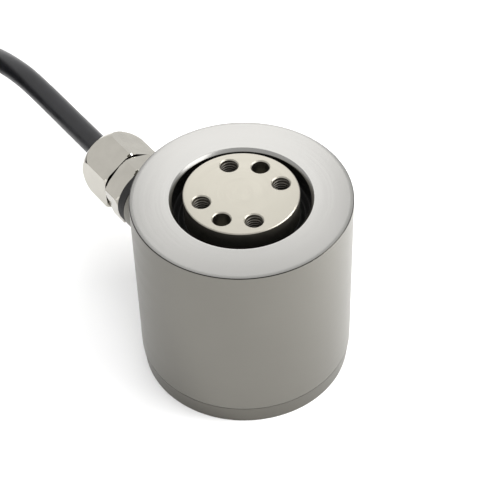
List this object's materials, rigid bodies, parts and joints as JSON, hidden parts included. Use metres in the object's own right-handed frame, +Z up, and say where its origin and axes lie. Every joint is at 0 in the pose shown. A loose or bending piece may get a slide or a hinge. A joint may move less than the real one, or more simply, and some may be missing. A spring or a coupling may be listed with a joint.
{
  "type": "multi-axis force sensor",
  "caption": "Round steel force sensor with a load disc standing in a ring-shaped gap, a bolted base face, a side cable gland and a black lead with loose cores.",
  "frame": {"origin": "centre of the bottom mounting face", "axes": "+Z up through the load disc; +Y through one of the load face's two dowel holes; the gland points away at 154 degrees from +X, counter-clockwise seen from above"},
  "size_m": [0.2317, 0.1005, 0.05],
  "materials": {
    "ground_steel": "fine turned and ground stainless steel",
    "steel": "turned and milled stainless steel",
    "black_rubber": "matt black elastomer",
    "screw_steel": "plain stainless screws",
    "gauge_foil": "amber polyimide foil",
    "enamel_wire": "enamelled copper",
    "harness_blue": "wire insulation",
    "board_green": "solder-masked circuit board",
    "brass": "turned brass",
    "component_black": "moulded component bodies",
    "core_insulation": "core insulation in several colours",
    "nickel": "bright nickel-plated brass",
    "claw_plastic": "dark grey nylon",
    "cable_jacket": "satin black polyurethane jacket",
    "shrink_sleeve": "black shrunk tubing",
    "strap_fabric": "black woven strap",
    "tinned_copper": "tinned wire ends"
  },
  "bodies": {
    "root": {"housing_sleeve": "ground_steel", "base_flange": "steel", "sensing_element": "steel", "bottom_cover": "steel", "cable_boss": "steel", "gap_seal": "black_rubber", "sleeve_o_ring": "black_rubber", "cover_gasket": "black_rubber", "gland_washer": "black_rubber", "gland_seal": "black_rubber", "element_screws": "screw_steel", "cover_screws": "screw_steel", "overload_stop": "screw_steel", "board_screws": "screw_steel", "gauges_vertical": "gauge_foil", "gauges_lateral_x": "gauge_foil", "gauges_lateral_y": "gauge_foil", "terminal_pads": "gauge_foil", "gauge_leads": "enamel_wire", "harness_wires": "harness_blue", "junction_board": "board_green", "board_standoffs": "brass", "board_resistors": "component_black", "core_wires": "core_insulation", "end_cores": "core_insulation", "gland_body": "nickel", "gland_cap_nut": "nickel", "gland_claw": "claw_plastic", "cable_inner": "cable_jacket", "cable_run": "cable_jacket", "cable_coil": "cable_jacket", "cable_tail": "cable_jacket", "end_sleeve": "shrink_sleeve", "coil_tie": "strap_fabric", "end_tips": "tinned_copper"}
  },
  "joints": []
}
